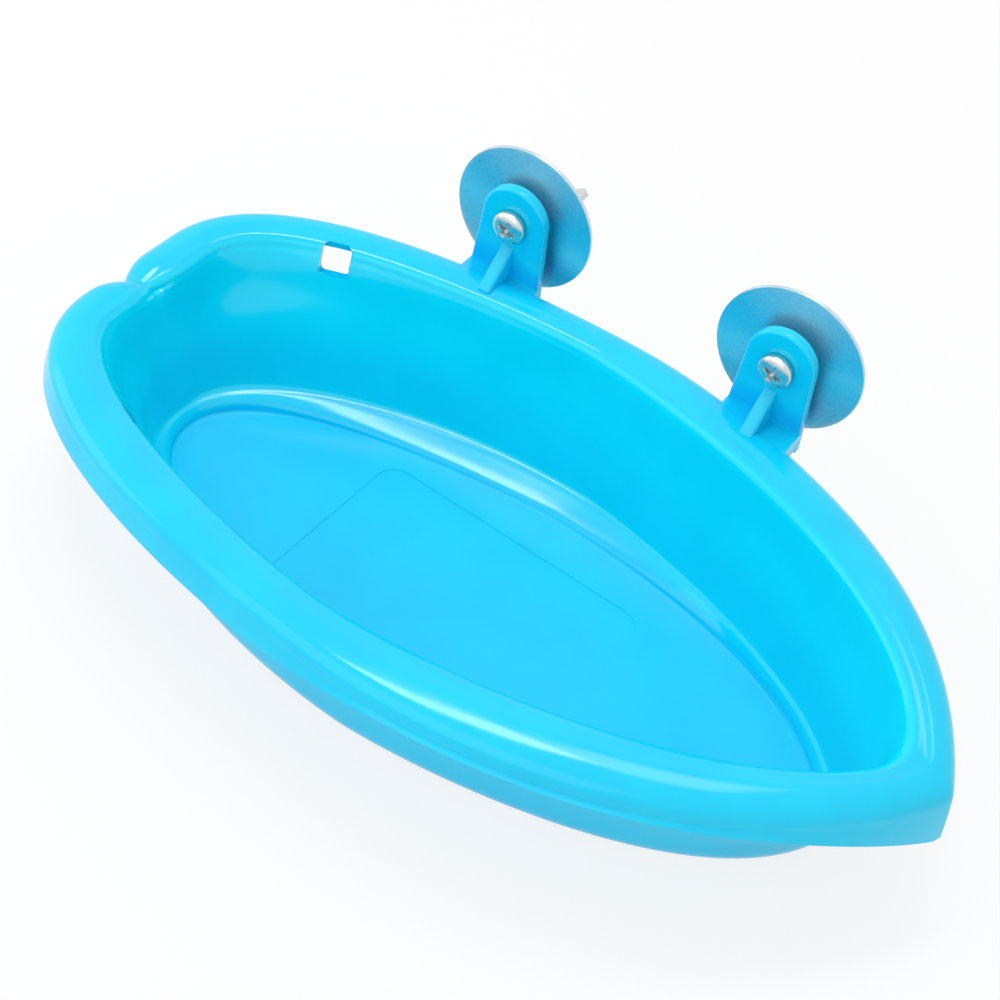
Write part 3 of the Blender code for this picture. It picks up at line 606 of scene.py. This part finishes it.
def makeScrew(number, x):
    # a turned profile from the point to the crown; the thread is a helix, a clipped triangle wave
    # of angle and height; the recess is sunk where either of two crossed bars covers the head
    c = screw
    tip, side = c["seat"] + c["length"], c["seat"] - c["headSide"]
    dome = c["headHeight"] - c["headSide"]
    shank = np.linspace(tip - c["point"], c["seat"], c["shankSteps"])
    arc = quarter * np.linspace(0.0, 1.0, c["domeSteps"])
    edge, part = c["headEdge"], c["headEdgeShare"] * c["headEdge"]
    radius = np.concatenate([
        [0.0, c["shank"] - c["point"]], np.full(len(shank), c["shank"]),
        [c["head"] - edge, c["head"] - part, c["head"]], c["head"] * np.cos(arc)])
    height = np.concatenate([
        [tip, tip], shank, [c["seat"], c["seat"] - part, c["seat"] - edge],
        side - dome * np.sin(arc)])
    turn = 2 * math.pi * np.arange(c["columns"]) / c["columns"]
    phase = (height[None, :] / c["pitch"] + turn[:, None] / (2 * math.pi)) % 1.0
    groove = np.clip(c["flankSlope"] * np.abs(2 * phase - 1) - c["crest"], 0.0, 1.0)
    begun = np.clip((height - c["seat"] - c["threadStart"]) / c["runOut"], 0.0, 1.0)
    threaded = begun * np.clip((tip - height) / c["runOut"], c["tipShare"], 1.0)
    onShank = (np.arange(len(radius)) > 0) & (np.arange(len(radius)) < 2 + len(shank))
    r = radius[None, :] - c["thread"] * groove * threaded * onShank
    a, b = r * np.cos(turn + c["recessTurn"])[:, None], r * np.sin(turn + c["recessTurn"])[:, None]
    bar = lambda u, v: (
        np.clip((c["recessLength"] / 2 - np.abs(u)) / c["recessEnd"], 0, 1)
        * np.clip((c["recessWidth"] / 2 - np.abs(v)) / c["recessSide"] + 0.5, 0, 1))
    onDome = height < side
    sunk = c["recessDepth"] * np.maximum(bar(a, b), bar(b, a)) * onDome
    y = height[None, :] + sunk
    points = np.stack([
        x + r * np.cos(turn)[:, None], tabs["front"] + y,
        tabs["screwZ"] + r * np.sin(turn)[:, None]], axis=-1)
    made = newObject(f"pan_head_screw_{number}", gridMesh(f"pan_head_screw_{number}", points), zinc)
    clean(made, sharp=40.0)
    dress(made, f"screw_{number}", f"screw_{number}")


# Clamp washer, hung on the top of its screw.
washer = dict(
    radius=17.7, thick=0.9, hole=3.4, edge=0.15, hang=1.15, front=(62.1, 62.6),
    columns=192, edgeSteps=5, faceSteps=14)


def makeWasher(number, x, front):
    # a flat ring: out along the front, round the rim, in along the back and through the hole
    w = washer
    turn = 2 * math.pi * np.arange(w["columns"]) / w["columns"]
    arc = quarter * np.linspace(0.0, 1.0, w["edgeSteps"])
    e, hole, thick = w["edge"], w["hole"], w["thick"]
    face = np.linspace(hole + e, w["radius"] - e, w["faceSteps"])[1:-1]
    outFront = np.stack([w["radius"] - e + e * np.sin(arc), e - e * np.cos(arc)], axis=-1)
    outBack = np.stack([w["radius"] - e + e * np.cos(arc), thick - e + e * np.sin(arc)], axis=-1)
    inBack = np.stack([hole + e - e * np.sin(arc), thick - e + e * np.cos(arc)], axis=-1)
    inFront = np.stack([hole + e - e * np.cos(arc), e - e * np.sin(arc)], axis=-1)
    profile = np.concatenate([
        np.stack([face, 0 * face], axis=-1), outFront, outBack,
        np.stack([face[::-1], 0 * face + thick], axis=-1), inBack, inFront])
    r, y = profile.T
    points = np.stack(np.broadcast_arrays(
        x + r * np.cos(turn)[:, None], front + y,
        tabs["screwZ"] - w["hang"] + r * np.sin(turn)[:, None]), axis=-1)
    mesh = gridMesh(f"clamp_washer_{number}", points, closed=True, uv=r / w["radius"])
    made = newObject(f"clamp_washer_{number}", mesh, brushed)
    clean(made, sharp=50.0)
    dress(made, f"washer_{number}", f"washer_{number}")


# Wing nut. Flank and wing are points of a wing's outline, as shares of its reach and its height.
nut = dict(
    hub=4.0, hubTop=3.4, hubHeight=4.6, chamfer=0.35, corner=0.1, topRound=0.4, draft=0.05,
    bore=2.25, boreEdge=0.3, boreSteps=60, pitch=0.7, thread=0.15, columns=72,
    span=21.0, height=11.01, thick=1.8, edge=0.5, root=1.0, inner=5.4, shoulder=0.8,
    rootShare=0.75, hubShare=0.9, flank=(0.62, 0.12),
    wing=((0.88, 0.42), (1.0, 0.7), (0.99, 0.9), (0.9, 1.0), (0.72, 0.98)),
    front=(63.05, 63.55), turn=(-28.0, 30.0))


def makeNut(number, x, front, degrees):
    # hub: a turned ring whose bore is a cosine wave of angle and height, the thread; wings: one
    # outline each, swept through their thickness
    n = nut
    hub, top, tall, bevel, corner = n["hub"], n["hubTop"], n["hubHeight"], n["chamfer"], n["corner"]
    turn = 2 * math.pi * np.arange(n["columns"]) / n["columns"]
    bore = np.linspace(tall - n["boreEdge"], n["boreEdge"], n["boreSteps"])
    outside = [
        (n["bore"] + bevel, 0.0), (hub - bevel, 0.0), (hub - corner, corner), (hub, bevel),
        (top + n["draft"], tall - n["topRound"]), (top - corner, tall - corner),
        (top - n["topRound"], tall), (n["bore"] + bevel, tall)]
    r, y = np.array(outside + [(n["bore"], h) for h in bore]).T
    inBore = np.arange(len(r)) >= len(outside)
    wave = 0.5 + 0.5 * np.cos(
        2 * math.pi * (y[None, :] / n["pitch"] + turn[:, None] / (2 * math.pi)))
    radius = r[None, :] + n["thread"] * wave * inBore
    points = np.stack(np.broadcast_arrays(
        radius * np.cos(turn)[:, None], radius * np.sin(turn)[:, None], y), axis=-1)
    mesh = gridMesh(f"cast_wing_nut_{number}", points, closed=True)
    made = newObject(f"cast_wing_nut_{number}", mesh)
    clean(made, sharp=40.0)
    tip, root, high = n["span"] / 2, n["rootShare"] * hub, n["height"]
    shape = np.array(
        [(root, n["root"]), (n["flank"][0] * tip, n["root"] + n["flank"][1] * high)]
        + [(across * tip, up * high) for across, up in n["wing"]]
        + [(n["inner"], n["shoulder"] * high), (n["hubShare"] * hub, tall),
           (root, n["hubShare"] * tall)])
    wings = []
    for side in (-1, 1):
        axes = np.array([(1.0, 0.0, 0.0), (0.0, 0.0, 1.0), (0.0, 1.0, 0.0)])
        mesh = prismMesh("wing", shape * (side, 1.0), axes, -n["thick"] / 2, n["thick"] / 2)
        wings.append(bevelled(newObject("wing", mesh), n["edge"], segments=4, angle=60.0))
    combine(made, wings, "UNION")
    place = Matrix.Translation((x * mm, front * mm, tabs["screwZ"] * mm))
    turned = Matrix.Rotation(math.radians(degrees), 4, "Y")
    made.data.transform(place @ turned @ Matrix.Rotation(-quarter, 4, "X"))
    clean(made, sharp=40.0)
    made.data.materials.clear()
    made.data.materials.append(zinc)
    dress(made, f"wing_nut_{number}", f"wing_nut_{number}")


for k, x in enumerate(tabs["screwX"]):
    makeScrew(k + 1, x)
    makeWasher(k + 1, x, washer["front"][k])
    makeNut(k + 1, x, nut["front"][k], nut["turn"][k])
print("clamp hardware made")

# Studio: a white floor and room. The camera, mirrors and glass see them plain white, with a share
# of the floor's own light kept, so that the object's shadow stays. Each lamp has its name, place,
# size and watts.
studio = dict(
    shadowShare=0.2, room=0.68, floorHalf=4000.0, floorDrop=0.2,
    lamps=(
        ("overhead softbox", (-0.165, 0.045, 0.85), (0.45, 0.11), 1.9),
        ("rear softbox", (0.0, 0.31, 0.8), (0.22, 0.22), 0.5),
        ("front fill", (-0.15, -0.85, 0.65), (1.2, 0.8), 2.3),
        ("left softbox", (-0.85, -0.32, 0.3), (0.6, 0.5), 1.0)))


def plainRays(tree):
    # 1 for rays from the camera, a mirror or glass, which meet plain white
    path = addNode(tree, "ShaderNodeLightPath")
    mirrored = addNode(
        tree, "ShaderNodeMath", links={0: (path, "Is Camera Ray"), 1: (path, "Is Glossy Ray")},
        operation="MAXIMUM")
    return addNode(
        tree, "ShaderNodeMath", links={0: (mirrored, 0), 1: (path, "Is Transmission Ray")},
        operation="MAXIMUM")


def makeFloor():
    paint, tree = newMaterial("white studio floor")
    seen = addNode(
        tree, "ShaderNodeMath", {1: 1 - studio["shadowShare"]}, {0: (plainRays(tree), 0)},
        operation="MULTIPLY")
    sheet = addNode(tree, "ShaderNodeBsdfDiffuse", {"Color": linear("#F4F4F4")})
    glow = addNode(tree, "ShaderNodeEmission", {"Color": linear("#FFFFFF"), "Strength": 1.0})
    mix = addNode(
        tree, "ShaderNodeMixShader", links={"Fac": (seen, 0), 1: (sheet, 0), 2: (glow, 0)})
    addNode(tree, "ShaderNodeOutputMaterial", links={"Surface": (mix, 0)})
    half, low = studio["floorHalf"] * mm, -studio["floorDrop"] * mm
    corners = [(-half, -half, low), (half, -half, low), (half, half, low), (-half, half, low)]
    mesh = bpy.data.meshes.new("studio_floor")
    mesh.from_pydata(corners, [], [(0, 1, 2, 3)])
    newObject("studio_floor", mesh, paint)


def makeRoom():
    world = bpy.data.worlds.new("white studio")
    world.use_nodes = True
    tree = world.node_tree
    tree.nodes.clear()
    light = addNode(
        tree, "ShaderNodeBackground", {"Color": linear("#FFFFFF"), "Strength": studio["room"]})
    white = addNode(tree, "ShaderNodeBackground", {"Color": linear("#FFFFFF"), "Strength": 1.0})
    mix = addNode(
        tree, "ShaderNodeMixShader",
        links={"Fac": (plainRays(tree), 0), 1: (light, 0), 2: (white, 0)})
    addNode(tree, "ShaderNodeOutputWorld", links={"Surface": (mix, 0)})
    scene.world = world


def makeLamp(name, place, size, power):
    lamp = bpy.data.lights.new(name, "AREA")
    lamp.shape = "RECTANGLE"
    lamp.size, lamp.size_y = size
    lamp.energy = power
    made = bpy.data.objects.new(name, lamp)
    scene.collection.objects.link(made)
    made.location = place
    made.rotation_euler = (-made.location).to_track_quat("-Z", "Y").to_euler()


makeFloor()
makeRoom()
for lamp in studio["lamps"]:
    makeLamp(*lamp)

# Camera: place in metres, then its right, up and back directions.
view = dict(
    place=(0.12586, -0.26315, 0.34326), right=(0.82094, 0.55491, 0.1350),
    up=(-0.48399, 0.55064, 0.6801), back=(0.30303, -0.62361, 0.7206), lens=73.616, sensor=36.0,
    nearest=0.01)
camera = bpy.data.objects.new("camera", bpy.data.cameras.new("camera"))
scene.collection.objects.link(camera)
camera.data.lens = view["lens"]
camera.data.sensor_width = view["sensor"]
camera.data.clip_start = view["nearest"]
turn = Matrix((view["right"], view["up"], view["back"])).transposed().to_quaternion().to_matrix()
camera.matrix_world = Matrix.Translation(view["place"]) @ turn.to_4x4()
scene.camera = camera
scene.view_settings.view_transform = "Standard"
print("studio and camera set")
